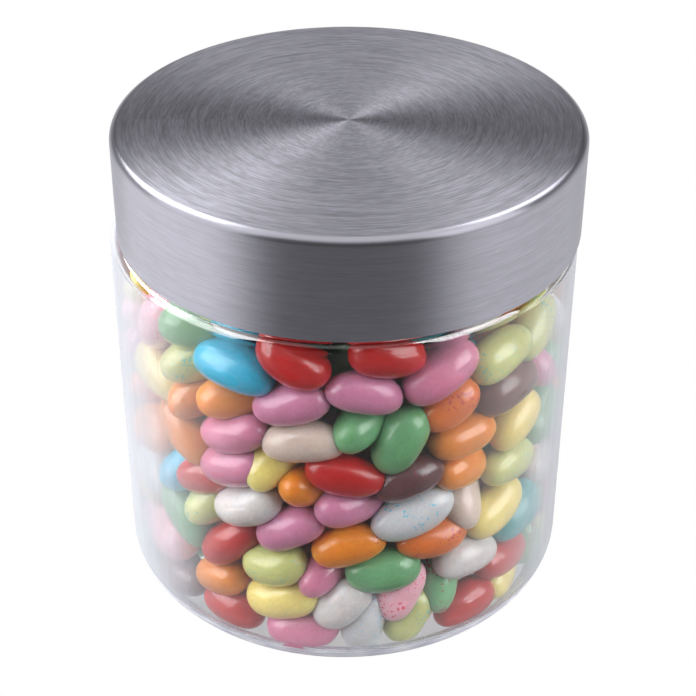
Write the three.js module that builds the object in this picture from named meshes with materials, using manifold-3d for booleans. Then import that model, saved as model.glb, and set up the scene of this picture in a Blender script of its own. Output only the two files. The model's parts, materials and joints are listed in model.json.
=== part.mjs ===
// A clear round jar with a brushed steel lid, full of jelly beans.
// Millimetres, +Z up. The origin is the centre of the jar's flat foot.

import * as THREE from 'three';
import { mergeVertices } from 'three/addons/utils/BufferGeometryUtils.js';
import Module from 'manifold-3d';

// Driving dimensions
const TOTAL_HEIGHT = 109.0;

const JAR = {
  radius: 50.5,
  wall: 1.2,
  floor: 2.2,
  heelRound: 7.0,
  innerHeelRound: 5.0,
  shoulderStart: 83.4,
  shoulderRound: 2.4,
  neckRadius: 47.6,
  neckFillet: 0.5,
};

const LID = {
  radius: 50.0,
  height: 22.8,
  sheet: 0.8,
  edgeRound: 1.9,
  shift: 1.0,
};

const BEAN = {
  length: 16.4,
  width: 9.8,
  thickness: 9.2,
  sides: 5,
  bands: 4,
};

const HEAP = {
  coreRadius: 41.4,
  coreFoot: 6.8,
  coreTop: 86.0,
  top: 93.0,
  rows: 11,
  beansPerRow: 15,
  passes: 60,
  seed: 20,
};

const CLEARANCE = 0.3;
const BEAN_CLEARANCE = 0.5;
const ROUND_SIDES = 48;
const CORE_SIDES = 20;
const DEGREE = Math.PI / 180;

// Sizes that follow from the driving ones
const innerRadius = JAR.radius - JAR.wall;
const innerNeckRadius = JAR.neckRadius - JAR.wall;
const rimTop = TOTAL_HEIGHT - LID.sheet - CLEARANCE;
const sagitta = 1 - Math.cos(Math.PI / ROUND_SIDES);

// Library that joins closed meshes
const wasm = await Module();
wasm.setup();

function toManifold(geometry) {
  const bare = geometry.clone();
  bare.deleteAttribute('normal');
  bare.deleteAttribute('uv');
  const merged = mergeVertices(bare, 1e-5);
  const mesh = new wasm.Mesh({
    numProp: 3,
    vertProperties: new Float32Array(merged.attributes.position.array),
    triVerts: new Uint32Array(merged.index.array),
  });
  return new wasm.Manifold(mesh);
}

function toGeometry(manifold) {
  const mesh = manifold.getMesh();
  const geometry = new THREE.BufferGeometry();
  geometry.setAttribute('position', new THREE.BufferAttribute(mesh.vertProperties, 3));
  geometry.setIndex(new THREE.BufferAttribute(mesh.triVerts, 1));
  geometry.computeVertexNormals();
  return geometry;
}

// Points of an arc, in the plane of radius and height, with the angle measured from outward
function arc(centreR, centreZ, radius, fromDegrees, toDegrees, steps) {
  const points = [];
  for (let i = 0; i <= steps; i += 1) {
    const angle = (fromDegrees + ((toDegrees - fromDegrees) * i) / steps) * DEGREE;
    points.push([centreR + radius * Math.cos(angle), centreZ + radius * Math.sin(angle)]);
  }
  return points;
}

// A turned solid about +Z from a profile of [radius, height] pairs, going up outside and down inside
function turned(profile, sides) {
  const points = profile.map(([r, z]) => new THREE.Vector2(Math.max(r, 0), z));
  const geometry = new THREE.LatheGeometry(points, sides);
  geometry.rotateX(Math.PI / 2);
  return geometry;
}

// The jar: flat foot, round heel, straight wall, small round shoulder and a plain neck
function jarGeometry() {
  const { radius, wall, floor, heelRound, innerHeelRound } = JAR;
  const { shoulderStart, shoulderRound, neckRadius, neckFillet } = JAR;
  const shoulderCentre = radius - shoulderRound;
  const shoulderTop = shoulderStart + shoulderRound;
  const filletTop = shoulderTop + neckFillet;
  const lipRound = wall / 2;
  const innerFillet = shoulderCentre - innerNeckRadius;
  return turned([
    [0, 0],
    ...arc(radius - heelRound, heelRound, heelRound, -90, 0, 5),
    ...arc(shoulderCentre, shoulderStart, shoulderRound, 0, 90, 3),
    ...arc(neckRadius + neckFillet, filletTop, neckFillet, 270, 180, 1),
    ...arc(neckRadius - lipRound, rimTop - lipRound, lipRound, 0, 180, 2),
    ...arc(shoulderCentre, shoulderTop - wall + innerFillet, innerFillet, 180, 270, 2),
    ...arc(shoulderCentre, shoulderStart, shoulderRound - wall, 90, 0, 2),
    ...arc(innerRadius - innerHeelRound, floor + innerHeelRound, innerHeelRound, 0, -90, 3),
    [0, floor],
  ], ROUND_SIDES);
}

// The lid: one deep cap of sheet steel with a rolled upper edge
function lidGeometry() {
  const { radius, height, sheet, edgeRound } = LID;
  const foot = TOTAL_HEIGHT - height;
  const edgeCentre = radius - edgeRound;
  return turned([
    [0, TOTAL_HEIGHT - sheet],
    ...arc(edgeCentre, TOTAL_HEIGHT - edgeRound, edgeRound - sheet, 90, 0, 2),
    [radius - sheet, foot],
    [radius, foot],
    ...arc(edgeCentre, TOTAL_HEIGHT - edgeRound, edgeRound, 0, 90, 4),
    [0, TOTAL_HEIGHT],
  ], ROUND_SIDES);
}

// Repeatable random numbers from 0 to 1
function randomSource(seed) {
  let state = seed;
  return () => {
    state = (state * 1664525 + 1013904223) % 4294967296;
    return state / 4294967296;
  };
}

// One bean, long along X, thin along Y and wide along Z
function beanGeometry() {
  const geometry = new THREE.SphereGeometry(0.5, BEAN.sides, BEAN.bands);
  geometry.rotateZ(-Math.PI / 2);
  geometry.scale(BEAN.length, BEAN.thickness, BEAN.width);
  return geometry;
}

// A bean settles as three balls in a row: one at each end and one in the middle
const ballRadius = BEAN.width / 2;
const halfSpan = BEAN.length / 2 - ballRadius;
const along = [0, 0.5, 1];
const lowest = JAR.floor + BEAN_CLEARANCE + ballRadius;

// The furthest that a ball's centre may lie from the axis at a height, less under the shoulder
function wallLimit(height) {
  const inBody = innerRadius * (1 - sagitta) - BEAN_CLEARANCE - ballRadius;
  const inNeck = innerNeckRadius * (1 - sagitta) - BEAN_CLEARANCE - ballRadius;
  const rise = (height - (JAR.shoulderStart - ballRadius)) / ballRadius;
  return THREE.MathUtils.lerp(inBody, inNeck, THREE.MathUtils.clamp(rise, 0, 1));
}

function keepBetween(point, nearest, furthest, bottom, top) {
  const away = Math.hypot(point.x, point.y);
  const scale = THREE.MathUtils.clamp(away, nearest, furthest) / away;
  const height = THREE.MathUtils.clamp(point.z, bottom, top);
  point.set(point.x * scale, point.y * scale, height);
}

// Each layer of beans that shows is a place that its balls may not leave
const layers = {
  wall: (p) => keepBetween(p, wallLimit(p.z) - 1.2, wallLimit(p.z), lowest, HEAP.top - ballRadius),
  floor: (p) => keepBetween(p, 0.1, 33, lowest, lowest),
  top: (p) => keepBetween(p, 0.1, 31, HEAP.coreTop, HEAP.top - ballRadius),
};

// Beans start in even rings with a random lean
function scatteredBeans() {
  const random = randomSource(HEAP.seed);
  const spread = (amount) => (random() * 2 - 1) * amount;
  const beans = [];
  const ring = (layer, count, away, height, phase) => {
    for (let i = 0; i < count; i += 1) {
      const turn = ((i + phase + spread(0.35)) / count) * 2 * Math.PI;
      const lean = layer === 'wall' ? spread(80 * DEGREE) : 0;
      const centre = new THREE.Vector3(away * Math.cos(turn), away * Math.sin(turn), height + spread(2));
      const level = new THREE.Vector3(-Math.sin(turn), Math.cos(turn), 0);
      const offset = level.multiplyScalar(Math.cos(lean) * halfSpan);
      offset.z = Math.sin(lean) * halfSpan;
      beans.push({ layer, a: centre.clone().sub(offset), b: centre.clone().add(offset) });
    }
  };
  const rowStep = (HEAP.top - ballRadius - lowest) / (HEAP.rows - 1);
  for (let row = 0; row < HEAP.rows; row += 1) {
    const height = lowest + row * rowStep;
    ring('wall', HEAP.beansPerRow, wallLimit(height), height, (row % 2) / 2);
  }
  ring('floor', 10, 30, lowest, 0);
  ring('floor', 5, 17, lowest, 0);
  ring('top', 8, 27, HEAP.top, 0);
  ring('top', 4, 13, HEAP.top, 0);
  return beans;
}

function pointAlong(bean, step) {
  return new THREE.Vector3().lerpVectors(bean.a, bean.b, step);
}

// Pushes two beans apart wherever their balls overlap
function separate(one, other) {
  const gap = new THREE.Vector3();
  for (const s of along) {
    for (const t of along) {
      gap.subVectors(pointAlong(one, s), pointAlong(other, t));
      const overlap = 2 * ballRadius - gap.length();
      if (overlap > 0) {
        gap.setLength(overlap / 2);
        one.a.addScaledVector(gap, 1 - s);
        one.b.addScaledVector(gap, s);
        other.a.addScaledVector(gap, t - 1);
        other.b.addScaledVector(gap, -t);
      }
    }
  }
}

// Brings both ends back into the layer, then makes the bean its own length again
function keepShape(bean) {
  layers[bean.layer](bean.a);
  layers[bean.layer](bean.b);
  const centre = pointAlong(bean, 0.5);
  const offset = bean.b.clone().sub(centre).setLength(halfSpan);
  bean.a.copy(centre).sub(offset);
  bean.b.copy(centre).add(offset);
}

// Lets the beans find room, pass by pass, without leaving their layer or changing length
function settledBeans() {
  const beans = scatteredBeans();
  for (let pass = 0; pass < HEAP.passes; pass += 1) {
    for (let i = 0; i < beans.length; i += 1) {
      for (let j = i + 1; j < beans.length; j += 1) {
        separate(beans[i], beans[j]);
      }
    }
    for (const bean of beans) {
      keepShape(bean);
      keepShape(bean);
    }
  }
  return beans;
}

// The bean's own axes: long between its ends, thin towards the wall, or up on the floor and top
function beanMatrix({ layer, a, b }) {
  const centre = new THREE.Vector3().lerpVectors(a, b, 0.5);
  const long = b.clone().sub(a).normalize();
  const facing = layer === 'wall' ? centre.clone().setZ(0) : new THREE.Vector3(0, 0, 1);
  const thin = facing.addScaledVector(long, -facing.dot(long)).normalize();
  const wide = long.clone().cross(thin);
  return new THREE.Matrix4().makeBasis(long, thin, wide).setPosition(centre);
}

// The heap: a plain core with the beans fused on; closed pockets between them are filled
function heapGeometry() {
  const { coreRadius, coreFoot, coreTop } = HEAP;
  const core = turned([
    [0, coreFoot],
    [coreRadius, coreFoot],
    [coreRadius, JAR.shoulderStart - ballRadius],
    [coreRadius - 3, coreTop],
    [0, coreTop],
  ], CORE_SIDES);
  const bean = beanGeometry();
  let heap = toManifold(core);
  for (const settled of settledBeans()) {
    heap = heap.add(toManifold(bean.clone().applyMatrix4(beanMatrix(settled))));
  }
  const shells = heap.decompose();
  shells.sort((a, b) => b.volume() - a.volume());
  return toGeometry(shells[0]);
}

const clearGlass = new THREE.MeshStandardMaterial({
  color: 0xf2f6f8,
  roughness: 0.04,
  metalness: 0.0,
  transparent: true,
  opacity: 0.3,
});

const brushedSteel = new THREE.MeshStandardMaterial({
  color: 0xb9b9c0,
  roughness: 0.35,
  metalness: 1.0,
});

const sugarShell = new THREE.MeshStandardMaterial({
  color: 0xe3796f,
  roughness: 0.28,
  metalness: 0.0,
});

const jar = new THREE.Mesh(jarGeometry(), clearGlass);
jar.name = 'jar_glass';

const heap = new THREE.Mesh(heapGeometry(), sugarShell);
heap.name = 'jelly_beans';

// The lid sits a little to one side on the rim
const lid = new THREE.Mesh(lidGeometry(), brushedSteel);
lid.name = 'lid';
lid.position.x = LID.shift;

const filledJar = new THREE.Group();
filledJar.add(jar, heap, lid);

export default filledJar;
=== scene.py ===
"""The looks of a jar of jelly beans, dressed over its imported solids.

The clear jar, the brushed steel lid and the beans are built at real size. The beans that the front
shows lie where they do in the real jar, and every other one is packed round them by a seeded
settling.
"""

import json
import logging
import math
from dataclasses import dataclass
from enum import Enum
from typing import Any, NamedTuple

import bpy
import numpy as np
from mathutils import Matrix, Vector

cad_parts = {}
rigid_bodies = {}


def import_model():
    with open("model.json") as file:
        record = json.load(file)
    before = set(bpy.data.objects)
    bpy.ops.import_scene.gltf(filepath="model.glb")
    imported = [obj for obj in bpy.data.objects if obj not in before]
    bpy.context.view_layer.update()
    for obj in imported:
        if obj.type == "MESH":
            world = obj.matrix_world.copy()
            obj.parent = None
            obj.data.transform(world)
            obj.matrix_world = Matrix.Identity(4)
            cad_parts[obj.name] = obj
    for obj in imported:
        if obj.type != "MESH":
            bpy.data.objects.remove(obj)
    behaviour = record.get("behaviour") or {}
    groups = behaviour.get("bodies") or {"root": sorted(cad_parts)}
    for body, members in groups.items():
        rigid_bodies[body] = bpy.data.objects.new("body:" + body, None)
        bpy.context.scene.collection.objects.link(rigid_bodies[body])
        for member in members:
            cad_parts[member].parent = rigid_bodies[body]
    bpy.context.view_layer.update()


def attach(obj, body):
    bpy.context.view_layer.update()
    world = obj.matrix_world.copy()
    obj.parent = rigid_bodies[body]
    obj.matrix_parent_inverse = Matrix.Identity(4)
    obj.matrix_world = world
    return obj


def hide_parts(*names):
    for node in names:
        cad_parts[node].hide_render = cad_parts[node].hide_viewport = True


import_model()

log = logging.getLogger("jelly_bean_jar")

MM = 0.001
TINY = 1e-6
TINY_SQUARE = 1e-8
BODY = "root"

# Where a Mix node of colours has its inputs and its result.
MIX_SHARE, MIX_FIRST, MIX_SECOND, MIX_RESULT = 0, 6, 7, 2

Colour = tuple[float, float, float]
Span = tuple[float, float]
Profile = list[tuple[float, float]]


def tone(code: str) -> Colour:
    """Turns a display colour into the linear one that shaders use.

    Args:
        code: Six hexadecimal digits, red, green and blue.

    Returns:
        Linear red, green and blue from 0 to 1.
    """
    channels = [int(code[i : i + 2], 16) / 255 for i in (0, 2, 4)]
    linear = [c / 12.92 if c <= 0.04045 else ((c + 0.055) / 1.055) ** 2.4 for c in channels]
    return (linear[0], linear[1], linear[2])


def shaded(colour: Colour, factor: float, lift: float = 0.0) -> Colour:
    """Multiplies each channel of a colour by a factor and adds a lift, up to white."""
    red, green, blue = (min(1.0, channel * factor + lift) for channel in colour)
    return (red, green, blue)


class Value:
    """One output socket of a node tree. Python's operators on it add Math nodes."""

    def __init__(self, tree: "Tree", socket: bpy.types.NodeSocket) -> None:
        """Wraps an output socket of a tree."""
        self.tree = tree
        self.socket = socket

    def math(
        self, operation: str, first: "Value | float", second: "Value | float" = 0.0
    ) -> "Value":
        """Adds one Math node of an operation with two inputs."""
        return self.tree.value("ShaderNodeMath", {"operation": operation}, {0: first, 1: second})

    def __add__(self, other: "Value | float") -> "Value":
        """Adds."""
        return self.math("ADD", self, other)

    def __radd__(self, other: float) -> "Value":
        """Adds to a number."""
        return self.math("ADD", other, self)

    def __sub__(self, other: "Value | float") -> "Value":
        """Subtracts."""
        return self.math("SUBTRACT", self, other)

    def __rsub__(self, other: float) -> "Value":
        """Subtracts from a number."""
        return self.math("SUBTRACT", other, self)

    def __mul__(self, other: "Value | float") -> "Value":
        """Multiplies."""
        return self.math("MULTIPLY", self, other)

    def __rmul__(self, other: float) -> "Value":
        """Multiplies a number."""
        return self.math("MULTIPLY", other, self)

    def __truediv__(self, other: "Value | float") -> "Value":
        """Divides."""
        return self.math("DIVIDE", self, other)

    def __pow__(self, other: float) -> "Value":
        """Raises to a power."""
        return self.math("POWER", self, other)

    def larger(self, other: "Value | float") -> "Value":
        """Takes the larger of two values."""
        return self.math("MAXIMUM", self, other)

    def between(self, low: float, high: float) -> "Value":
        """Eases from 0 at low to 1 at high, whichever of the two is the larger."""
        values = {"Value": self, "From Min": low, "From Max": high}
        return self.tree.value("ShaderNodeMapRange", {"interpolation_type": "SMOOTHSTEP"}, values)


class Tree:
    """A node tree that is written as expressions."""

    def __init__(self, nodes: bpy.types.NodeTree) -> None:
        """Empties the node tree of a material or of the world and keeps it."""
        self.nodes = nodes
        nodes.nodes.clear()

    def node(self, kind: str, settings: dict[str, Any], values: dict[Any, Any]) -> bpy.types.Node:
        """Adds one node.

        Args:
            kind: The node's type.
            settings: Its properties, such as a Math node's operation, set first.
            values: What each input socket holds, by name or number: a number, a colour or a link.

        Returns:
            The node.
        """
        made = self.nodes.nodes.new(kind)
        for name, setting in settings.items():
            setattr(made, name, setting)
        for name, value in values.items():
            socket = made.inputs[name]
            if isinstance(value, Value):
                self.nodes.links.new(value.socket, socket)
            elif socket.type == "RGBA":
                socket.default_value = (*value, 1.0)
            else:
                socket.default_value = value
        return made

    def value(
        self, kind: str, settings: dict[str, Any], values: dict[Any, Any], output: str | int = 0
    ) -> Value:
        """Adds one node, as node() does, and wraps the output of the given name or number."""
        return Value(self, self.node(kind, settings, values).outputs[output])

    def mix(self, share: Value | float, first: Any, second: Any) -> Value:
        """Mixes two colours, or links that hold them: a share of 0 gives the first one."""
        values = {MIX_SHARE: share, MIX_FIRST: first, MIX_SECOND: second}
        return self.value("ShaderNodeMix", {"data_type": "RGBA"}, values, MIX_RESULT)

    def position(self) -> Value:
        """Reads the point on the surface, in metres of the object's own frame."""
        return self.value("ShaderNodeTexCoord", {}, {}, "Object")

    def split(self, point: Value) -> tuple[Value, Value, Value]:
        """Takes a point or a direction apart into X, Y and Z."""
        parts = self.node("ShaderNodeSeparateXYZ", {}, {0: point})
        return tuple(Value(self, parts.outputs[axis]) for axis in "XYZ")

    def join(self, x: Value, y: Value, z: Value | float = 0.0) -> Value:
        """Puts three numbers together as a point."""
        return self.value("ShaderNodeCombineXYZ", {}, {0: x, 1: y, 2: z})

    def noise(self, point: Value, scale: float, detail: float, roughness: float = 0.5) -> Value:
        """Reads a soft noise from 0 to 1. Detail counts finer octaves and roughness weighs them."""
        values = {"Vector": point, "Scale": scale, "Detail": detail, "Roughness": roughness}
        return self.value("ShaderNodeTexNoise", {}, values)


class Finish:
    """What a surface looks like."""

    def surface(self, tree: Tree) -> Value:
        """Adds the finish's nodes to a tree and gives its shader."""
        raise NotImplementedError

    def material(self, name: str) -> bpy.types.Material:
        """Makes a material of the finish.

        Args:
            name: The material's name.

        Returns:
            The material.
        """
        material = bpy.data.materials.new(name)
        material.use_nodes = True
        tree = Tree(material.node_tree)
        tree.node("ShaderNodeOutputMaterial", {}, {"Surface": self.surface(tree)})
        return material


@dataclass(frozen=True)
class SugarShell(Finish):
    """The polished sugar shell of one flavour. Its scales are in waves a metre."""

    colour: Colour
    speck: Colour | None = None
    speck_cover: float = 0.66
    speck_edge: float = 0.05
    speck_depth: float = 0.85
    roughness: float = 0.3
    roughness_swing: float = 0.12
    dark: float = 0.85
    light: float = 1.06
    lift: float = 0.005
    cloud_scale: float = 150.0
    grain_scale: float = 1500.0
    patch_scale: float = 170.0
    dent_scale: float = 260.0
    dent_size: float = 0.0004

    def surface(self, tree: Tree) -> Value:
        """Gives a slightly uneven colour, a waxy depth, a soft gloss and fine specks.

        Args:
            tree: The material's node tree.

        Returns:
            The shell's shader.
        """
        point = tree.position()
        clouds = tree.noise(point, self.cloud_scale, 3.0)
        grain = tree.noise(point, self.grain_scale, 2.0, 0.6)
        mottle = (clouds * 0.6 + grain * 0.4).between(0.3, 0.7)
        lighter = shaded(self.colour, self.light, self.lift)
        colour = tree.mix(mottle, shaded(self.colour, self.dark), lighter)
        if self.speck is not None:
            grains = tree.noise(point, self.grain_scale, 1.0, 0.6)
            patches = tree.noise(point, self.patch_scale, 1.0)
            spread = grains + patches * 0.6 - 0.3
            cover = spread.between(self.speck_cover, self.speck_cover + self.speck_edge)
            colour = tree.mix(cover * self.speck_depth, colour, self.speck)
        dents = tree.noise(point, self.dent_scale, 4.0, 0.6)
        dent_values = {"Strength": 0.2, "Distance": self.dent_size, "Height": dents}
        values = {
            "Base Color": colour,
            "Roughness": self.roughness + (clouds - 0.5) * self.roughness_swing,
            "Normal": tree.value("ShaderNodeBump", {}, dent_values),
            "Subsurface Weight": 0.75,
            "Subsurface Radius": (1.0, 0.7, 0.5),
            "Subsurface Scale": 0.006,
            "Specular IOR Level": 0.2,
            "Coat Weight": 0.75,
            "Coat Roughness": 0.14,
            "Coat IOR": 1.6,
        }
        return tree.value("ShaderNodeBsdfPrincipled", {}, values)


@dataclass(frozen=True)
class ClearGlass(Finish):
    """Thin clear glass with a pale haze at its sides and a brighter, ringed foot.

    The haze is partly the glass's own and partly a painted reflection of the bright room, painted
    stronger on the left, where the light is stronger. The foot's band, its rings and the darker
    line at its bottom edge are painted light that stands in for the floor's light seen through the
    thick foot.
    """

    tint: Colour = (0.94, 0.945, 0.96)
    passing: Colour = (0.96, 0.965, 0.97)
    # The colour of the haze at the sides: partly the glass's own haze, partly a painted reflection
    # of the bright room.
    painted_haze_tint: Colour = (0.41, 0.42, 0.46)
    # The foot's band is painted light: its lighter and darker rings and the darker line at its
    # bottom edge stand in for the floor's light seen through the thick foot.
    foot_painted_light: Colour = (0.82, 0.82, 0.88)
    foot_painted_dark: Colour = (0.5, 0.5, 0.6)
    foot_painted_line: Colour = (0.13, 0.13, 0.19)
    foot_top: float = 0.0056
    foot_edge: float = 0.0022
    foot_inside: float = 0.0455
    top_blur: float = 0.0002
    edge_blur: float = 0.0004
    inside_blur: float = 0.001
    foot_cover: float = 0.85
    foot_roughness: float = 0.3
    # How strong the side haze is and where it eases in; the part that grows towards the sides is a
    # painted reflection.
    haze: float = 0.76
    haze_start: float = 0.4
    haze_full: float = 0.78
    # Painted light: the haze is painted stronger towards -X, the left side, where the light is
    # stronger.
    painted_left_light: float = 1.6
    ior: float = 1.52
    ripple_scale: float = 14.0
    ring_scale: float = 22.0
    ring_turn: float = 0.4
    ring_height: float = 90.0

    def surface(self, tree: Tree) -> Value:
        """Gives glass that light passes unbent on its way to the beans.

        Args:
            tree: The material's node tree.

        Returns:
            The glass's shader.
        """
        x, y, z = tree.split(tree.position())
        turn = y.math("ARCTAN2", y, x)
        away = (x * x + y * y) ** 0.5
        ripples = tree.noise(tree.join(turn, z), self.ripple_scale, 2.0)
        # The foot's painted band, and the darker line painted just above its bottom edge.
        low = z.between(self.foot_top + self.top_blur, self.foot_top - self.top_blur)
        foot = low * away.between(self.foot_inside, self.foot_inside + self.inside_blur)
        line = z.between(self.foot_edge + self.edge_blur, self.foot_edge - self.edge_blur)
        facing = tree.value("ShaderNodeLayerWeight", {}, {"Blend": 0.5}, "Facing")
        # Painted reflection: the haze grows towards the sides, and more on the left, where the
        # light is stronger.
        painted_reflection = (facing - x * self.painted_left_light).between(self.haze_start, self.haze_full)
        haze = painted_reflection * (ripples * 0.6 + 0.7)
        wave_values = {"Strength": 0.12, "Distance": 0.0001, "Height": ripples}
        values = {
            "Base Color": self.tint,
            "Roughness": foot * self.foot_roughness,
            "IOR": self.ior,
            "Transmission Weight": 1.0,
            "Normal": tree.value("ShaderNodeBump", {}, wave_values),
            "Coat Weight": 0.4,
            "Coat Roughness": 0.0,
            "Sheen Weight": 0.3,
            "Sheen Roughness": 0.3,
            "Sheen Tint": (0.88, 0.9, 1.0),
        }
        glass = tree.value("ShaderNodeBsdfPrincipled", {}, values)
        ring_point = tree.join(turn * self.ring_turn, z * self.ring_height)
        rings = tree.noise(ring_point, self.ring_scale, 1.0).between(0.3, 0.7)
        # Painted light: the haze colour, and the foot's painted band of lighter and darker rings
        # with a darker line at its bottom edge.
        painted_haze_and_foot = tree.mix(foot, self.painted_haze_tint, tree.mix(rings, self.foot_painted_dark, self.foot_painted_light))
        painted_haze_and_foot = tree.mix(line, painted_haze_and_foot, self.foot_painted_line)
        soft_values = {"Base Color": painted_haze_and_foot, "Roughness": 0.8, "Specular IOR Level": 0.2}
        painted_haze_and_foot_shader = tree.value("ShaderNodeBsdfPrincipled", {}, soft_values)
        share = (haze * self.haze).larger(foot * self.foot_cover)
        body = tree.value("ShaderNodeMixShader", {}, {0: share, 1: glass, 2: painted_haze_and_foot_shader})
        clear = tree.value("ShaderNodeBsdfTransparent", {}, {"Color": self.passing})
        path = tree.node("ShaderNodeLightPath", {}, {})
        shadow = Value(tree, path.outputs["Is Shadow Ray"])
        soft = Value(tree, path.outputs["Is Diffuse Ray"])
        return tree.value("ShaderNodeMixShader", {}, {0: shadow.larger(soft), 1: body, 2: clear})


@dataclass(frozen=True)
class BrushedSteel(Finish):
    """Stainless steel brushed in circles round the lid's own axis, with a smoother round edge
    whose colour is painted darker: painted shade that dims the edge's highlight.

    Its axis's place along X and the radius and height at which its edge starts are in metres.
    """

    axis_x: float
    edge: Span
    colour: Colour = tone("C8C7D3")
    dark: float = 0.7
    light: float = 1.3
    edge_painted_shade: float = 0.88
    # Painted shade: the round edge's colour is darker than the rest, to dim its highlight.
    edge_blur: float = 0.0004
    top_blur: float = 0.001
    roughness: float = 0.38
    roughness_swing: float = 0.03
    edge_roughness: float = 0.3
    anisotropy: float = 0.72
    across_scale: float = 1000.0
    short_turn: float = 3.0
    short_rise: float = 50.0
    long_turn: float = 0.7
    fine_scale: float = 3.6
    drawn_scale: float = 2.6
    broad_scale: float = 0.7
    side_depth: float = 0.4
    top_depth: float = 0.85

    def surface(self, tree: Tree) -> Value:
        """Gives fine scratches along circles.

        Args:
            tree: The material's node tree.

        Returns:
            The steel's shader.
        """
        x, y, z = tree.split(tree.position())
        x = x - self.axis_x
        away = (x * x + y * y) ** 0.5
        turn = x.math("ARCTAN2", y, x)
        across = (away + z) * self.across_scale
        short_lines = tree.join(across, turn * self.short_turn, z * self.short_rise)
        long_lines = tree.join(across, turn * self.long_turn, 3.0)
        fine = tree.noise(short_lines, self.fine_scale, 1.0, 0.6)
        drawn = tree.noise(long_lines, self.drawn_scale, 2.0, 0.7)
        broad = tree.noise(short_lines, self.broad_scale, 2.0, 0.6)
        streaks = fine * 0.4 + drawn * 0.4 + broad * 0.2
        radius, height = self.edge
        outer = away.between(radius, radius + self.edge_blur)
        brushed = 1.0 - outer * z.between(height, height + self.edge_blur)
        level = z.between(height, height + self.top_blur) * self.top_depth + self.side_depth
        depth = (streaks - 0.5) * level + 0.5
        dark, light = shaded(self.colour, self.dark), shaded(self.colour, self.light)
        shade = tree.mix(depth.between(0.25, 0.75), dark, light)
        rough = self.roughness + (depth - 0.5) * self.roughness_swing
        values = {
            # Painted shade on the round edge.
            "Base Color": tree.mix(brushed, shaded(self.colour, self.edge_painted_shade), shade),
            "Metallic": 1.0,
            "Roughness": self.edge_roughness + (rough - self.edge_roughness) * brushed,
            "Anisotropic": self.anisotropy,
            "Anisotropic Rotation": 0.25,
        }
        return tree.value("ShaderNodeBsdfPrincipled", {}, values)


@dataclass(frozen=True)
class PlainMatt(Finish):
    """A plain matt surface with a faint grain, for the middle of the heap."""

    colour: Colour
    dark: float = 0.98
    grain_scale: float = 300.0

    def surface(self, tree: Tree) -> Value:
        """Gives a dull colour with a little grain.

        Args:
            tree: The material's node tree.

        Returns:
            The matt shader.
        """
        grain = tree.noise(tree.position(), self.grain_scale, 3.0)
        colour = tree.mix(grain, shaded(self.colour, self.dark), self.colour)
        values = {"Base Color": colour, "Roughness": 0.9, "Specular IOR Level": 0.2}
        return tree.value("ShaderNodeBsdfPrincipled", {}, values)


class Recipe(NamedTuple):
    """What one flavour of bean looks like and how often it turns up."""

    slot: str
    share: float
    shell: SugarShell


class Flavour(Enum):
    """The kinds of bean in the jar."""

    RED = Recipe("red_bean", 1.4, SugarShell(tone("B21210")))
    LILAC = Recipe("pink_bean", 1.0, SugarShell(tone("C07A99")))
    PINK = Recipe("pink_bean", 0.8, SugarShell(tone("C47693")))
    PINK_SPECKLED = Recipe("pink_bean", 0.6, SugarShell(tone("E3A6B4"), tone("D23A55")))
    ORANGE = Recipe("orange_bean", 1.5, SugarShell(tone("D67E18")))
    ORANGE_SPECKLED = Recipe("orange_bean", 0.5, SugarShell(tone("D06C22"), tone("A8303A"), 0.65))
    YELLOW = Recipe("yellow_bean", 1.2, SugarShell(tone("E5CF78")))
    LIME = Recipe("lime_bean", 1.0, SugarShell(tone("BEC17D"), tone("5FAFA0"), 0.65))
    GREEN = Recipe("green_bean", 1.0, SugarShell(tone("679D6E")))
    GREEN_SPECKLED = Recipe("green_bean", 0.4, SugarShell(tone("6FA97A"), tone("9A3440"), 0.65))
    TEAL = Recipe("teal_bean", 0.35, SugarShell(tone("2F9799")))
    BLUE = Recipe("blue_bean", 0.35, SugarShell(tone("12A6C8")))
    WHITE = Recipe("white_bean", 0.9, SugarShell(tone("C9C4C3")))
    WHITE_SPECKLED = Recipe("white_bean", 0.5, SugarShell(tone("C6C6C8"), tone("4FB4CE"), 0.68))
    CREAM = Recipe("white_bean", 0.6, SugarShell(tone("C6B3A7")))
    BROWN = Recipe("brown_bean", 0.6, SugarShell(tone("6E4B48")))
    BROWN_SPECKLED = Recipe("brown_bean", 0.3, SugarShell(tone("5A3638"), tone("8C2F38")))


class Seen(NamedTuple):
    """One bean that the front shows: where its middle is in the picture and how it leans there.

    Its middle is in pixels and its angles are in degrees. Deep is how far it points into the jar,
    and long is its length against the usual one.
    """

    flavour: Flavour
    x: float
    y: float
    lean: float
    deep: float = 0.0
    long: float = 1.0


# A short name for the list below.
F = Flavour

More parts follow.
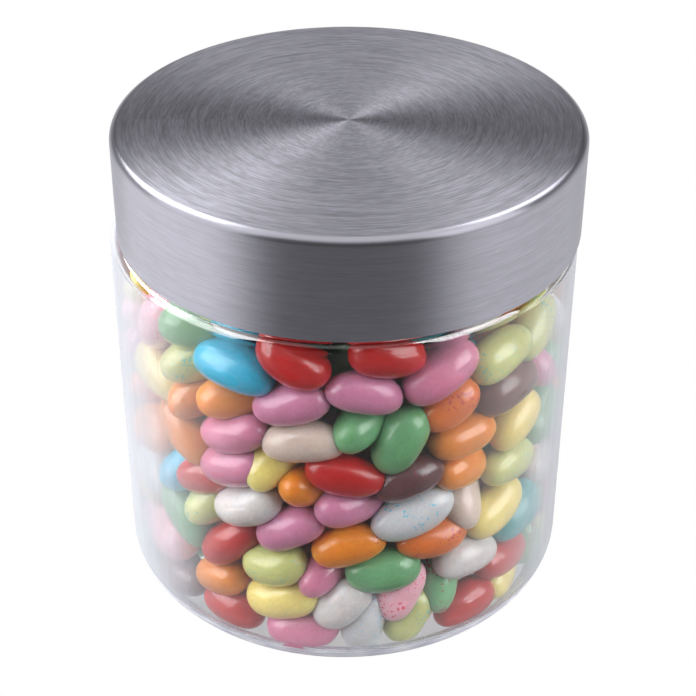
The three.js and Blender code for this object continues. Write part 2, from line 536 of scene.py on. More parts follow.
SEEN_BEANS = [
    Seen(F.PINK_SPECKLED, x=160, y=322, lean=70),
    Seen(F.GREEN, x=192, y=328, lean=-15, deep=30),
    Seen(F.WHITE, x=238, y=328, lean=-18, deep=20),
    Seen(F.BLUE, x=234, y=367, lean=-25, long=1.06),
    Seen(F.RED, x=292, y=362, lean=-30, long=0.94),
    Seen(F.RED, x=388, y=357, lean=-3),
    Seen(F.TEAL, x=431, y=328, lean=20),
    Seen(F.WHITE, x=486, y=316, lean=22),
    Seen(F.LIME, x=531, y=328, lean=65),
    Seen(F.PINK, x=441, y=373, lean=38),
    Seen(F.LIME, x=501, y=354, lean=40),
    Seen(F.BROWN, x=506, y=385, lean=42),
    Seen(F.ORANGE_SPECKLED, x=448, y=405, lean=40, long=0.92),
    Seen(F.ORANGE, x=462, y=436, lean=27),
    Seen(F.ORANGE, x=462, y=471, lean=10, deep=20, long=0.94),
    Seen(F.YELLOW, x=514, y=420, lean=60),
    Seen(F.LIME, x=506, y=461, lean=38),
    Seen(F.GREEN, x=537, y=412, lean=75),
    Seen(F.WHITE, x=535, y=461, lean=50),
    Seen(F.TEAL, x=513, y=510, lean=58),
    Seen(F.YELLOW, x=492, y=508, lean=50),
    Seen(F.CREAM, x=467, y=499, lean=60, deep=45),
    Seen(F.LIME, x=534, y=512, lean=70),
    Seen(F.PINK, x=546, y=490, lean=80),
    Seen(F.WHITE_SPECKLED, x=413, y=514, lean=27, long=1.08),
    Seen(F.BROWN_SPECKLED, x=409, y=477, lean=22),
    Seen(F.GREEN, x=400, y=440, lean=62, long=0.95),
    Seen(F.GREEN, x=365, y=431, lean=10, deep=50),
    Seen(F.LILAC, x=364, y=394, lean=-8),
    Seen(F.LILAC, x=291, y=404, lean=8, long=1.05),
    Seen(F.CREAM, x=304, y=443, lean=0, long=1.06),
    Seen(F.RED, x=345, y=475, lean=-12, long=1.05),
    Seen(F.YELLOW, x=272, y=466, lean=25, deep=40),
    Seen(F.ORANGE, x=306, y=490, lean=-30, deep=55),
    Seen(F.PINK, x=235, y=432, lean=5, long=1.05),
    Seen(F.PINK, x=237, y=465, lean=-3),
    Seen(F.ORANGE, x=230, y=401, lean=-5, deep=35),
    Seen(F.ORANGE, x=193, y=396, lean=20, deep=60),
    Seen(F.ORANGE, x=189, y=430, lean=-60),
    Seen(F.ORANGE, x=159, y=430, lean=-55),
    Seen(F.YELLOW, x=162, y=371, lean=-55),
    Seen(F.LIME, x=189, y=364, lean=10, deep=50),
    Seen(F.WHITE_SPECKLED, x=159, y=470, lean=-65),
    Seen(F.BLUE, x=184, y=467, lean=70, deep=60),
    Seen(F.RED, x=206, y=475, lean=0, deep=10),
    Seen(F.GREEN, x=190, y=512, lean=-60),
    Seen(F.LIME, x=213, y=503, lean=10, deep=45),
    Seen(F.WHITE, x=248, y=503, lean=6, long=0.93),
    Seen(F.RED, x=230, y=543, lean=25, deep=15),
    Seen(F.PINK_SPECKLED, x=172, y=534, lean=-50),
    Seen(F.LILAC, x=290, y=528, lean=15, long=0.97),
    Seen(F.LILAC, x=350, y=508, lean=-5, deep=30),
    Seen(F.ORANGE, x=349, y=546, lean=12),
    Seen(F.ORANGE_SPECKLED, x=431, y=535, lean=20),
    Seen(F.WHITE, x=464, y=556, lean=25, long=0.95),
    Seen(F.RED, x=498, y=556, lean=38),
    Seen(F.GREEN, x=526, y=558, lean=60),
    Seen(F.RED, x=464, y=601, lean=35),
    Seen(F.YELLOW, x=501, y=584, lean=45, deep=20),
    Seen(F.GREEN_SPECKLED, x=443, y=580, lean=60, deep=30),
    Seen(F.GREEN, x=384, y=571, lean=8, long=0.95),
    Seen(F.PINK_SPECKLED, x=399, y=590, lean=65, long=0.9),
    Seen(F.LIME, x=408, y=618, lean=60, long=0.95),
    Seen(F.WHITE_SPECKLED, x=364, y=621, lean=78),
    Seen(F.WHITE, x=343, y=602, lean=42, long=0.92),
    Seen(F.PINK, x=326, y=577, lean=10, deep=55),
    Seen(F.LIME, x=276, y=564, lean=-2, long=0.9),
    Seen(F.YELLOW, x=284, y=597, lean=-2, long=0.96),
    Seen(F.PINK, x=304, y=628, lean=0, long=0.96),
    Seen(F.RED, x=234, y=613, lean=-28, long=0.95),
    Seen(F.ORANGE, x=223, y=576, lean=-10, long=0.9),
    Seen(F.BROWN, x=183, y=577, lean=-48),
    Seen(F.YELLOW, x=153, y=545, lean=-60),
]


@dataclass
class Camera:
    """The camera of the picture: where it looks and how far off it is, in metres and degrees."""

    target: tuple[float, float, float] = (0.00089, 0.0, 0.05156)
    distance: float = 0.38695
    pitch: float = 33.87
    roll: float = 0.17
    focal_px: float = 1699.0
    picture_px: float = 696.0
    sensor_mm: float = 36.0

    def axes(self) -> tuple[Vector, Vector, Vector]:
        """Works out which way the camera faces.

        Returns:
            The directions to its right, up and forward.
        """
        pitch, roll = math.radians(self.pitch), math.radians(self.roll)
        forward = Vector((0.0, math.cos(pitch), -math.sin(pitch)))
        level = Vector((1.0, 0.0, 0.0))
        upright = level.cross(forward)
        right = math.cos(roll) * level + math.sin(roll) * upright
        up = -math.sin(roll) * level + math.cos(roll) * upright
        return right, up, forward

    def stand(self) -> Vector:
        """Gives the point that the camera stands at."""
        return Vector(self.target) - self.axes()[2] * self.distance

    def on_wall(self, x: float, y: float, radius: float) -> Vector:
        """Finds the point of an upright cylinder round Z that the picture shows at a pixel.

        Args:
            x: How far right in the picture.
            y: How far down in the picture.
            radius: The cylinder's radius in metres.

        Returns:
            The point nearest the camera, or the closest one where the pixel looks past it.
        """
        right, up, forward = self.axes()
        middle = self.picture_px / 2
        ray = forward + right * ((x - middle) / self.focal_px) - up * ((y - middle) / self.focal_px)
        start = self.stand()
        a = ray.x**2 + ray.y**2
        b = start.x * ray.x + start.y * ray.y
        c = start.x**2 + start.y**2 - radius**2
        step = (-b - math.sqrt(max(b * b - a * c, 0.0))) / a
        point = start + ray * step
        shrink = min(1.0, radius / math.hypot(point.x, point.y))
        return Vector((point.x * shrink, point.y * shrink, point.z))

    def build(self) -> None:
        """Makes the camera and gives it to the scene."""
        right, up, forward = self.axes()
        data = bpy.data.cameras.new("camera")
        data.sensor_width = self.sensor_mm
        data.lens = self.focal_px / self.picture_px * self.sensor_mm
        data.clip_start = 0.01
        camera = bpy.data.objects.new("camera", data)
        turn = Matrix((right, up, -forward)).transposed().to_4x4()
        camera.matrix_world = Matrix.Translation(self.stand()) @ turn
        bpy.context.collection.objects.link(camera)
        bpy.context.scene.camera = camera


def add_piece(name: str, mesh: bpy.types.Mesh, material: bpy.types.Material) -> bpy.types.Object:
    """Puts a mesh in the scene with smooth shading.

    Args:
        name: The piece's name.
        mesh: Its mesh, in metres.
        material: Its finish.

    Returns:
        The object.
    """
    mesh.polygons.foreach_set("use_smooth", [True] * len(mesh.polygons))
    mesh.materials.append(material)
    piece = bpy.data.objects.new(name, mesh)
    bpy.context.collection.objects.link(piece)
    log.info("%s: %d faces", name, len(mesh.polygons))
    return piece


def mesh_of(name: str, points: np.ndarray, faces: np.ndarray) -> bpy.types.Mesh:
    """Makes a mesh from arrays.

    Args:
        name: The mesh's name.
        points: One row of three coordinates for each point, in metres.
        faces: One row of four point numbers for each face; a triangle repeats its last.

    Returns:
        The mesh.
    """
    mesh = bpy.data.meshes.new(name)
    rows = [list(dict.fromkeys(face)) for face in faces.tolist()]
    mesh.from_pydata(points.tolist(), [], rows)
    mesh.validate()
    return mesh


def arc(centre: Span, radius: float, start: float, end: float, steps: int) -> Profile:
    """Gives points along an arc round a radius and height, from start to end in degrees."""
    angles = [math.radians(start + (end - start) * step / steps) for step in range(steps + 1)]
    return [(centre[0] + radius * math.cos(a), centre[1] + radius * math.sin(a)) for a in angles]


def turned(name: str, profile: Profile, sides: int, axis_x: float = 0.0) -> bpy.types.Mesh:
    """Turns a profile round an upright axis into a closed mesh.

    Args:
        name: The mesh's name.
        profile: Points of radius and height in millimetres that start and end on the axis.
        sides: How many sides a turn has.
        axis_x: Where the axis stands along X, in millimetres.

    Returns:
        The mesh, in metres.
    """
    rings = profile[1:-1]
    angles = np.arange(sides) * 2 * math.pi / sides
    points = [(axis_x, 0.0, profile[0][1]), (axis_x, 0.0, profile[-1][1])]
    for radius, height in rings:
        for angle in angles:
            points.append((axis_x + radius * math.cos(angle), radius * math.sin(angle), height))
    faces = []
    last = 2 + (len(rings) - 1) * sides
    for i in range(sides):
        j = (i + 1) % sides
        faces.append((0, 2 + j, 2 + i, 2 + i))
        faces.append((1, last + i, last + j, last + j))
        for ring in range(len(rings) - 1):
            low = 2 + ring * sides
            high = low + sides
            faces.append((low + i, low + j, high + j, high + i))
    return mesh_of(name, np.array(points) * MM, np.array(faces))


@dataclass
class GlassJar:
    """The clear jar: flat foot, round heel, thin straight wall, small shoulder and a neck."""

    radius: float = 50.5
    wall: float = 1.2
    floor: float = 2.2
    heel_round: float = 7.0
    inner_heel_round: float = 5.0
    shoulder_start: float = 83.4
    shoulder_round: float = 2.4
    neck_radius: float = 47.6
    neck_fillet: float = 0.5
    rim_top: float = 107.9
    flat_ring: float = 20.0
    sides: int = 180
    finish: ClearGlass = ClearGlass()

    def inner_radius(self) -> float:
        """Gives the inside radius of the straight wall."""
        return self.radius - self.wall

    def profile(self) -> Profile:
        """Draws the jar's section, up the outside and down the inside."""
        shoulder = self.radius - self.shoulder_round
        shoulder_top = self.shoulder_start + self.shoulder_round
        fillet_top = shoulder_top + self.neck_fillet
        lip = self.wall / 2
        inner_neck = self.neck_radius - self.wall
        inner_fillet = shoulder - inner_neck
        fillet, outer, heel = self.neck_fillet, self.heel_round, self.inner_heel_round
        inner_neck_fillet = (shoulder, shoulder_top - self.wall + inner_fillet)
        return [
            (0.0, 0.0),
            (self.flat_ring, 0.0),
            *arc((self.radius - outer, outer), outer, -90, 0, steps=14),
            *arc((shoulder, self.shoulder_start), self.shoulder_round, 0, 90, steps=10),
            *arc((self.neck_radius + fillet, fillet_top), fillet, 270, 180, steps=5),
            *arc((self.neck_radius - lip, self.rim_top - lip), lip, 0, 180, steps=10),
            *arc(inner_neck_fillet, inner_fillet, 180, 270, steps=8),
            *arc((shoulder, self.shoulder_start), self.shoulder_round - self.wall, 90, 0, steps=6),
            *arc((self.inner_radius() - heel, self.floor + heel), heel, 0, -90, steps=12),
            (self.flat_ring, self.floor),
            (0.0, self.floor),
        ]

    def build(self) -> None:
        """Makes the jar in place of its solid."""
        mesh = turned("glass_jar", self.profile(), self.sides)
        piece = add_piece("glass_jar", mesh, self.finish.material("clear_glass"))
        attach(piece, BODY)
        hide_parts("jar_glass")


@dataclass
class SteelLid:
    """The deep cap of brushed steel, a little to one side on the jar."""

    top: float = 109.0
    radius: float = 50.0
    height: float = 22.8
    sheet: float = 0.8
    edge_round: float = 1.8
    shift: float = 1.0
    sides: int = 240

    def profile(self) -> Profile:
        """Draws the lid's section, up the inside and down over the top."""
        edge = self.radius - self.edge_round
        foot = self.top - self.height
        hem = self.sheet / 2
        inside = (edge, self.top - self.edge_round)
        return [
            (0.0, self.top - self.sheet),
            (edge / 2, self.top - self.sheet),
            *arc(inside, self.edge_round - self.sheet, 90, 0, steps=6),
            *arc((self.radius - hem, foot + hem), hem, 180, 360, steps=8),
            *arc(inside, self.edge_round, 0, 90, steps=12),
            (edge / 2, self.top),
            (0.0, self.top),
        ]

    def build(self) -> None:
        """Makes the lid in place of its solid."""
        mesh = turned("steel_lid", self.profile(), self.sides, self.shift)
        edge = ((self.radius - self.edge_round) * MM, (self.top - self.edge_round) * MM)
        finish = BrushedSteel(self.shift * MM, edge)
        piece = add_piece("steel_lid", mesh, finish.material("brushed_steel"))
        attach(piece, BODY)
        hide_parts("lid")


# Where a bean's three balls lie along it, against half its span.
OFFSETS = np.array([-1.0, 0.0, 1.0])


@dataclass
class JellyBeans:
    """The heap of beans that fills the jar."""

    jar: GlassJar
    camera: Camera
    length: float = 16.4
    width: float = 9.8
    thickness: float = 9.2
    count: int = 455
    seed: int = 7
    rings: int = 18
    sides: int = 26

    # The room that they have, and how the front ones are found through the glass.
    fill_top: float = 91.0
    bottom_round: float = 5.2
    squeeze: float = 0.4
    glass_spread: float = 1.016
    glass_drop: float = 2.5
    lean_reach: float = 12.0

    # How they find room.
    tries: int = 40
    edge_bonus: float = 9.0
    passes: int = 260
    wall_passes: int = 60
    look_every: int = 6
    near: float = 1.1
    lie: tuple[float, float, float] = (1.0, 1.0, 0.55)
    size_swing: float = 0.035
    sizes: Span = (0.92, 1.08)
    start_size: float = 0.72
    growth: float = 0.28
    grown_by: float = 0.6
    step_share: float = 0.4
    swing_share: float = 0.25
    sink: float = 0.02
    hold: float = 0.35
    hold_gain: float = 0.45

    # What tells one bean's shape from another's.
    blunt: Span = (0.82, 0.95)
    blunt_girth: Span = (0.8, 0.92)
    taper: float = 0.09
    two_lumps: float = 0.010
    three_lumps: float = 0.008
    stretch: Span = (0.93, 1.05)
    thin: Span = (0.95, 1.04)
    wide: Span = (0.93, 1.04)
    bend: Span = (0.0, 0.8)
    bend_middle: float = 0.4
    dent_length: float = 0.35
    dent_depth: float = 0.35
    any_turn: Span = (0.0, 6.3)
    tip: float = 2.0
    loose_tip: float = 40.0
    loose_radius: float = 36.0

    # The plain middle, and the height under which every bean is made.
    core_radius: float = 24.0
    core_bottom: float = 14.0
    core_below_top: float = 8.0
    core_round: float = 3.0
    core_sides: int = 32
    all_below: float = 16.0

    def __post_init__(self) -> None:
        """Sizes the balls that a bean settles as, and starts the random draws."""
        self.ball = (self.width + self.thickness) / 4
        self.half_span = self.length / 2 - self.ball
        self.draw = np.random.default_rng(self.seed)

    def wall_limit(self, height: np.ndarray, ball: np.ndarray) -> np.ndarray:
        """Gives how far from the axis a ball's centre may lie.

        Args:
            height: The balls' heights.
            ball: Their radii.

        Returns:
            The largest radius for each, less under the shoulder.
        """
        body = self.jar.inner_radius() - ball
        neck = self.jar.neck_radius - self.jar.wall - ball
        rise = np.clip((height - self.jar.shoulder_start) / ball + 1, 0, 1)
        return body + (neck - body) * rise

    def heel_push(self, balls: np.ndarray, ball: np.ndarray) -> np.ndarray:
        """Keeps balls out of the corner between the jar's wall and floor.

        Args:
            balls: The balls' centres.
            ball: Their radii.

        Returns:
            The step back inside for each.
        """
        heel = self.bottom_round
        away = np.maximum(np.hypot(balls[..., 0], balls[..., 1]), TINY)
        out = away - (self.jar.inner_radius() - heel)
        down = self.jar.floor + heel - balls[..., 2]
        corner = (out > 0) & (down > 0)
        reach = np.maximum(np.hypot(out, down), TINY)
        over = np.where(corner, np.maximum(reach - (heel - ball), 0.0), 0.0) / reach
        level = balls[..., :2] / away[..., None] * (-out * over)[..., None]
        return np.concatenate([level, (down * over)[..., None]], axis=-1)

    def wall_push(self, balls: np.ndarray, ball: np.ndarray) -> np.ndarray:
        """Measures how far, and which way, balls stick into the jar's wall.

        Args:
            balls: The balls' centres.
            ball: Their radii.

        Returns:
            The level step outside for each.
        """
        away = np.maximum(np.hypot(balls[..., 0], balls[..., 1]), TINY)
        over = np.maximum(away - self.wall_limit(balls[..., 2], ball), 0.0)
        return balls[..., :2] / away[..., None] * over[..., None]

    def seen_places(self) -> tuple[np.ndarray, np.ndarray]:
        """Works out where the beans that the front shows lie against the wall.

        Returns:
            Their centres and the directions of their long axes, in millimetres.
        """
        centres, axes = [], []
        wall = self.jar.inner_radius() - self.ball
        centre_x = self.camera.picture_px / 2
        for bean in SEEN_BEANS:
            lean, deep = math.radians(bean.lean), math.radians(bean.deep)
            step_x = self.lean_reach * math.cos(lean)
            step_y = -self.lean_reach * math.sin(lean)
            x = centre_x + (bean.x - centre_x) / self.glass_spread
            y = bean.y - self.glass_drop
            middle = self.camera.on_wall(x, y, wall * MM) / MM
            one = self.camera.on_wall(x - step_x, y - step_y, wall * MM)
            other = self.camera.on_wall(x + step_x, y + step_y, wall * MM)
            inward = -Vector((middle.x, middle.y, 0.0)).normalized()
            flat = (other - one).normalized()
            flat = (flat - inward * flat.dot(inward)).normalized()
            axis = flat * math.cos(deep) + inward * math.sin(deep)
            centres.append(middle + inward * self.half_span * math.sin(deep))
            axes.append(axis)
        return self.inside(np.array(centres), np.array(axes)), np.array(axes)

    def inside(self, at: np.ndarray, axis: np.ndarray) -> np.ndarray:
        """Moves beans that touch the jar's wall, heel or floor back inside it.

        Args:
            at: Their centres.
            axis: Their long axes.

        Returns:
            The centres, moved.
        """
        spots = OFFSETS[None, :, None] * self.half_span * axis[:, None]
        ball = np.full(1, self.ball - self.squeeze)
        for _ in range(self.wall_passes):
            balls = at[:, None] + spots
            push = self.heel_push(balls, ball)
            push[..., 2] += np.maximum(self.jar.floor + ball - balls[..., 2], 0.0)
            push[..., :2] -= self.wall_push(balls, ball)
            at = at + push.sum(axis=1) / 2
        return at

    def scattered(self, centres: np.ndarray) -> np.ndarray:
        """Adds bean centres one by one, each in the roomiest of some random places.

        Args:
            centres: The centres that are already there.

        Returns:
            All centres.
        """
        room = self.jar.inner_radius() - self.ball
        low = self.jar.floor + self.ball
        while len(centres) < self.count:
            away = room * np.sqrt(self.draw.random(self.tries))
            turn = self.draw.random(self.tries) * 2 * math.pi
            height = low + (self.fill_top - self.ball - low) * self.draw.random(self.tries)
            places = np.stack([away * np.cos(turn), away * np.sin(turn), height], axis=1)
            gaps = np.linalg.norm(places[:, None] - centres[None], axis=2).min(axis=1)
            edge = np.minimum(room - away, height - low)
            best = places[np.argmax(np.minimum(gaps, edge + self.edge_bonus))]
            centres = np.vstack([centres, best])
        return centres

    def settled(self) -> tuple[np.ndarray, np.ndarray, np.ndarray]:
        """Lets the beans find room in the jar without moving the seen ones far.

        Returns:
            Their centres, long axes and sizes against the usual one.
        """
        wanted_at, wanted_axis = self.seen_places()
        seen = len(wanted_at)
        at = self.scattered(wanted_at)
        total = len(at)
        axis = self.draw.normal(size=(total, 3)) * self.lie
        axis[:seen] = wanted_axis
        axis /= np.linalg.norm(axis, axis=1, keepdims=True)
        size = np.clip(self.draw.normal(1.0, self.size_swing, total), *self.sizes)
        for step in range(self.passes):
            grown = self.start_size + self.growth * step / (self.passes * self.grown_by)
            grown = size * min(1.0, grown)
            ball, span = self.ball * grown, self.half_span * grown
            if step % self.look_every == 0:
                gaps = np.linalg.norm(at[:, None] - at[None], axis=2)
                first, second = np.nonzero(np.triu(gaps < self.length * self.near, 1))
            balls = at[:, None] + OFFSETS[None, :, None] * span[:, None, None] * axis[:, None]
            apart = balls[first][:, :, None] - balls[second][:, None, :]
            gap = np.maximum(np.linalg.norm(apart, axis=3), TINY)
            overlap = np.maximum((ball[first] + ball[second])[:, None, None] - gap, 0.0)
            push = apart / gap[..., None] * overlap[..., None] / 2
            moved = np.zeros_like(balls)
            np.add.at(moved, first, push.sum(axis=2))
            np.add.at(moved, second, -push.sum(axis=1))
            moved[..., :2] -= self.wall_push(balls, ball[:, None])
            moved[..., 2] += np.maximum(self.jar.floor + ball[:, None] - balls[..., 2], 0.0)
            moved += self.heel_push(balls, ball[:, None])
            at = at + moved.sum(axis=1) * self.step_share
            at[:, 2] -= self.sink
            swing = (moved * OFFSETS[None, :, None]).sum(axis=1) / span[:, None]
            axis = axis + swing * self.swing_share
            hold = self.hold + self.hold_gain * step / self.passes
            at[:seen] += (wanted_at - at[:seen]) * hold
            axis[:seen] += (wanted_axis - axis[:seen]) * hold
            axis /= np.linalg.norm(axis, axis=1, keepdims=True)
        return self.inside(at, axis), axis, size

    def flavours(self, total: int) -> list[Flavour]:
        """Chooses each bean's flavour: the seen ones as listed, the others by their share.

        Args:
            total: How many beans there are.

        Returns:
            One flavour a bean.
        """
        kinds = list(Flavour)
        shares = np.array([kind.value.share for kind in kinds])
        picks = self.draw.choice(len(kinds), size=total, p=shares / shares.sum())
        chosen = [kinds[i] for i in picks]
        chosen[: len(SEEN_BEANS)] = [bean.flavour for bean in SEEN_BEANS]
        return chosen

    def shapes(self, at: np.ndarray, axis: np.ndarray, size: np.ndarray) -> np.ndarray:
        """Forms every bean: a blunt oval, a little bent, tapered and lumpy.

        Args:
            at: Their centres.
            axis: Their long axes.
            size: Their sizes against the usual one.

        Returns:
            The points of each, ring by ring from pole to pole, in millimetres.
        """
        total = len(at)
        polar = np.linspace(0.0, math.pi, self.rings + 1)[None, :, None]
        turn = (np.arange(self.sides) * 2 * math.pi / self.sides)[None, None, :]

        def vary(low: float, high: float) -> np.ndarray:
            """Draws one number a bean."""
            return self.draw.uniform(low, high, total)[:, None, None]

        blunt = vary(*self.blunt)
        along = np.sign(np.cos(polar)) * np.abs(np.cos(polar)) ** blunt
        girth = np.abs(np.sin(polar)) ** vary(*self.blunt_girth)
        girth = girth * (1 + vary(-self.taper, self.taper) * along)
        lumps = 1 + self.two_lumps * np.sin(2 * turn + 3 * along + vary(*self.any_turn))
        lumps = lumps + self.three_lumps * np.sin(3 * turn - 2 * along + vary(*self.any_turn))
        stretch = vary(*self.stretch)
        stretch[: len(SEEN_BEANS), 0, 0] = [bean.long for bean in SEEN_BEANS]
        long = self.length / 2 * stretch * along
        thin = self.thickness / 2 * vary(*self.thin) * girth * np.cos(turn) * lumps
        wide = self.width / 2 * vary(*self.wide) * girth * np.sin(turn) * lumps
        bend = vary(*self.bend)
        wide = wide + bend * (self.bend_middle - along**2)
        dent = np.exp(-((along / self.dent_length) ** 2)) * np.clip(-np.sin(turn), 0, 1) ** 2
        wide = wide + self.dent_depth * bend * dent

        outward = at * (1.0, 1.0, 0.0)
        loose = np.hypot(at[:, 0], at[:, 1]) < self.loose_radius
        outward += self.draw.normal(size=(total, 3)) * (self.tip + self.loose_tip * loose)[:, None]
        outward -= axis * (outward * axis).sum(axis=1, keepdims=True)
        outward /= np.linalg.norm(outward, axis=1, keepdims=True)
        across = np.cross(axis, outward) * self.draw.choice([-1.0, 1.0], total)[:, None]
        local = np.stack(np.broadcast_arrays(long, thin, wide), axis=-1) * size[:, None, None, None]
        basis = np.stack([axis, outward, across], axis=1)
        return np.einsum("brsk,bkc->brsc", local, basis) + at[:, None, None]

    def kind_mesh(self, name: str, shapes: np.ndarray) -> bpy.types.Mesh:
        """Joins the beans of one kind.

        Args:
            name: The mesh's name.
            shapes: Their points, from shapes().

        Returns:
            One mesh, in metres.
        """
        beans, rows, sides = shapes.shape[:3]
        inner = rows - 2
        body = shapes[:, 1:-1].reshape(beans, inner * sides, 3)
        poles = shapes[:, [0, -1], 0]
        points = np.concatenate([body, poles], axis=1)
        i = np.arange(sides)
        j = (i + 1) % sides
        faces = []
        for low in range(0, (inner - 1) * sides, sides):
            high = low + sides
            faces.append(np.stack([low + i, high + i, high + j, low + j], axis=1))
        top, bottom = inner * sides, inner * sides + 1
        last = (inner - 1) * sides
        faces.append(np.stack([np.full(sides, top), i, j, j], axis=1))
        faces.append(np.stack([np.full(sides, bottom), last + j, last + i, last + i], axis=1))
        one = np.concatenate(faces)
        per_bean = points.shape[1]
        every = (one[None] + (np.arange(beans) * per_bean)[:, None, None]).reshape(-1, 4)
        return mesh_of(name, points.reshape(-1, 3) * MM, every)

    def build(self) -> None:
        """Makes one piece for each kind of bean, over a plain middle that doesn't show."""
        at, axis, size = self.settled()
        kinds = self.flavours(len(at))
        shapes = self.shapes(at, axis, size)
        away = np.hypot(at[:, 0], at[:, 1])
        shown = (away > self.core_radius) | (at[:, 2] < self.all_below)
        low, top = shapes[..., 2].min(), shapes[..., 2].max()
        widest = np.hypot(shapes[..., 0], shapes[..., 1]).max()
        log.info("%d of %d beans shown", shown.sum(), len(at))
        log.info("beans reach from %.1f to %.1f mm high, %.1f mm from the axis", low, top, widest)
        for flavour in Flavour:
            chosen = np.array([kind is flavour for kind in kinds]) & shown
            name = f"{flavour.name.lower()}_beans"
            recipe = flavour.value
            mesh = self.kind_mesh(name, shapes[chosen])
            piece = add_piece(name, mesh, recipe.shell.material(name))
            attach(piece, BODY)
            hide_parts("jelly_beans")
        self.build_core()

    def build_core(self) -> None:
        """Makes the middle of the heap, which only stops the eye between the beans."""
        low, high = self.core_bottom, self.fill_top - self.core_below_top
        edge = self.core_round
        inner = self.core_radius - edge
        profile = [
            (0.0, low),
            *arc((inner, low + edge), edge, -90, 0, steps=4),
            *arc((inner, high - edge), edge, 0, 90, steps=4),
            (0.0, high),
        ]
        mesh = turned("heap_middle", profile, self.core_sides)
        finish = PlainMatt(tone("A88478"))
        piece = add_piece("heap_middle", mesh, finish.material("heap_middle"))
        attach(piece, BODY)
        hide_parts("jelly_beans")


@dataclass(frozen=True)
class SoftBox:
    """One soft lamp of the studio, placed by the angles, in degrees, that the jar sees it at."""

    name: str
    turn: float
    height: float
    distance: float
    size: float
    power: float
    steel_share: float = 0.5
    aim: float = 0.06

    def build(self, steel: bpy.types.Collection, rest: bpy.types.Collection) -> None:
        """Hangs the lamp twice: dimmed for the lid, to keep its grain, and full for the rest."""
        self.hang(f"{self.name}_steel", self.power * self.steel_share, steel)
        self.hang(self.name, self.power, rest)

    def hang(self, name: str, power: float, lit: bpy.types.Collection) -> None:
        """Makes one lamp and aims it at the jar.

        Args:
            name: The lamp's name.
            power: Its power in watts.
            lit: The pieces that it lights.
        """
        turn, height = math.radians(self.turn), math.radians(self.height)
        level = math.cos(height)
        way = Vector((math.sin(turn) * level, -math.cos(turn) * level, math.sin(height)))
        data = bpy.data.lights.new(name, "AREA")
        data.size = self.size
        data.energy = power
        lamp = bpy.data.objects.new(name, data)
        lamp.light_linking.receiver_collection = lit
        lamp.location = way * self.distance + Vector((0.0, 0.0, self.aim))
        lamp.rotation_euler = (-way).to_track_quat("-Z", "Y").to_euler()
        bpy.context.collection.objects.link(lamp)


@dataclass(frozen=True)
class Sector:
    """A bright part of the floor or wall, by its turn from the front of the jar, in degrees."""

    turn: float
    half_width: float
    strength: float
    soft: float = 18.0

    def glow(self, x: Value, y: Value) -> Value:
        """Works out how bright the sector is in a direction.

        Args:
            x: The direction's part to the right.
            y: Its part to the back.

        Returns:
            The brightness, from 0 to the sector's strength.
        """
        turn = math.radians(self.turn)
        match = x * math.sin(turn) - y * math.cos(turn)
        off = match.math("ARCCOSINE", match)
        inner, outer = self.half_width - self.soft, self.half_width + self.soft
        return off.between(math.radians(outer), math.radians(inner)) * self.strength


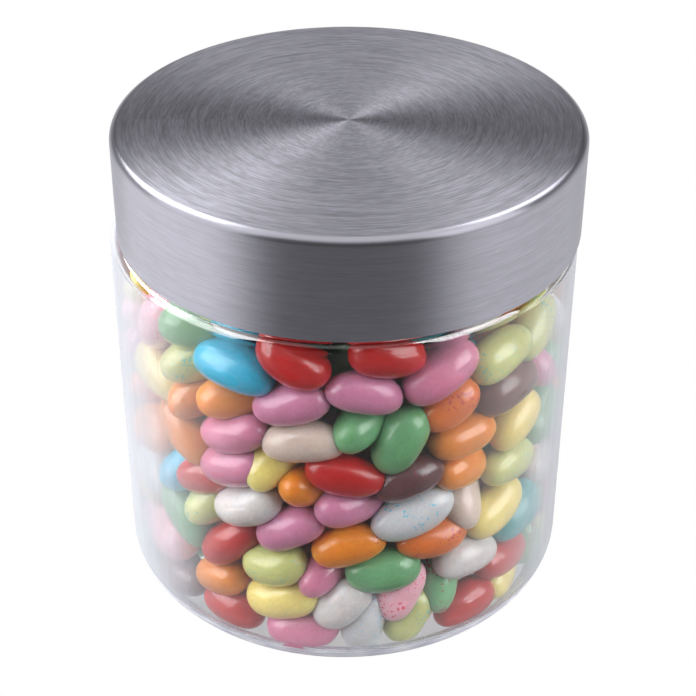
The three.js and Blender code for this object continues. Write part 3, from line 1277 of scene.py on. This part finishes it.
@dataclass
class Studio:
    """A white floor and soft lamps in a room that is dark in front."""

    floor_radius: float = 4000.0
    floor_depth: float = 1.0
    floor_gap: float = 0.02
    floor_sides: int = 64
    floor_glow: float = 0.14
    disc_radius: float = 0.09
    disc_soft: float = 0.03
    disc_strength: float = 0.6
    sectors: tuple[Sector, ...] = (
        Sector(turn=-88, half_width=42, strength=0.82),
        Sector(turn=90, half_width=46, strength=0.55),
        Sector(turn=180, half_width=58, strength=0.5),
    )
    ambient: float = 0.06
    ceiling: float = 0.82
    ceiling_rise: Span = (0.6, 0.85)
    wall_fall: Span = (0.3, 0.15)
    walls: tuple[Sector, ...] = (
        Sector(turn=180, half_width=25, strength=0.8),
        Sector(turn=98, half_width=34, strength=0.4),
        Sector(turn=-98, half_width=34, strength=0.3),
    )
    lamps: tuple[SoftBox, ...] = (
        SoftBox("left_lamp", -71, 28, distance=0.65, size=0.6, power=6.6, steel_share=0.15),
        SoftBox("right_lamp", 63, 30, distance=0.65, size=0.5, power=5.0, steel_share=0.18),
        SoftBox("back_left_lamp", -124, 47, distance=0.8, size=0.45, power=7.5, steel_share=0.45),
        SoftBox("back_right_lamp", 132, 50, distance=0.8, size=0.35, power=2.4),
    )

    def build_floor(self) -> None:
        """Lays the floor. It shows plain white and mirrors as dark only in front of the jar."""
        wide, bottom, top = self.floor_radius, -self.floor_depth, -self.floor_gap
        profile = [(0.0, bottom), (wide, bottom), (wide, top), (0.0, top)]
        mesh = turned("floor", profile, self.floor_sides)
        material = bpy.data.materials.new("floor")
        material.use_nodes = True
        tree = Tree(material.node_tree)
        x, y, _ = tree.split(tree.position())
        away = (x * x + y * y).larger(TINY_SQUARE) ** 0.5
        near = away.between(self.disc_radius, self.disc_radius - self.disc_soft)
        glow = near * self.disc_strength
        for sector in self.sectors:
            glow = glow.larger(sector.glow(x / away, y / away) + self.floor_glow)
        plain = tree.value("ShaderNodeLightPath", {}, {}, "Is Camera Ray")
        white = tree.value("ShaderNodeEmission", {}, {"Color": glow.larger(plain)})
        tree.node("ShaderNodeOutputMaterial", {}, {"Surface": white})
        floor = add_piece("floor", mesh, material)

    def build_room(self) -> None:
        """Gives the room a faint glow, more from above, and a plain white backdrop."""
        world = bpy.data.worlds.new("room")
        bpy.context.scene.world = world
        world.use_nodes = True
        tree = Tree(world.node_tree)
        x, y, height = tree.split(tree.value("ShaderNodeTexCoord", {}, {}, "Generated"))
        level = (x * x + y * y).larger(TINY_SQUARE) ** 0.5
        glow = height.between(*self.ceiling_rise) * self.ceiling + self.ambient
        for wall in self.walls:
            glow = glow + wall.glow(x / level, y / level) * height.between(*self.wall_fall)
        plain = tree.value("ShaderNodeLightPath", {}, {}, "Is Camera Ray")
        sky = tree.value("ShaderNodeBackground", {}, {"Color": glow.larger(plain)})
        tree.node("ShaderNodeOutputWorld", {}, {"Surface": sky})

    def build(self) -> None:
        """Builds the whole studio and shows colours as they are."""
        self.build_floor()
        self.build_room()
        steel = bpy.data.collections.new("steel_lit")
        rest = bpy.data.collections.new("rest_lit")
        for piece in bpy.context.collection.objects:
            if piece.type == "MESH":
                (steel if piece.name == "steel_lid" else rest).objects.link(piece)
        for lamp in self.lamps:
            lamp.build(steel, rest)
        bpy.context.scene.view_settings.view_transform = "Standard"


def main() -> None:
    """Builds the camera, the jar, its beans, the lid and the studio, in that order."""
    logging.basicConfig(level=logging.INFO, format="%(name)s: %(message)s")
    camera = Camera()
    camera.build()
    jar = GlassJar()
    jar.build()
    JellyBeans(jar, camera).build()
    SteelLid().build()
    Studio().build()


if __name__ == "__main__":
    main()
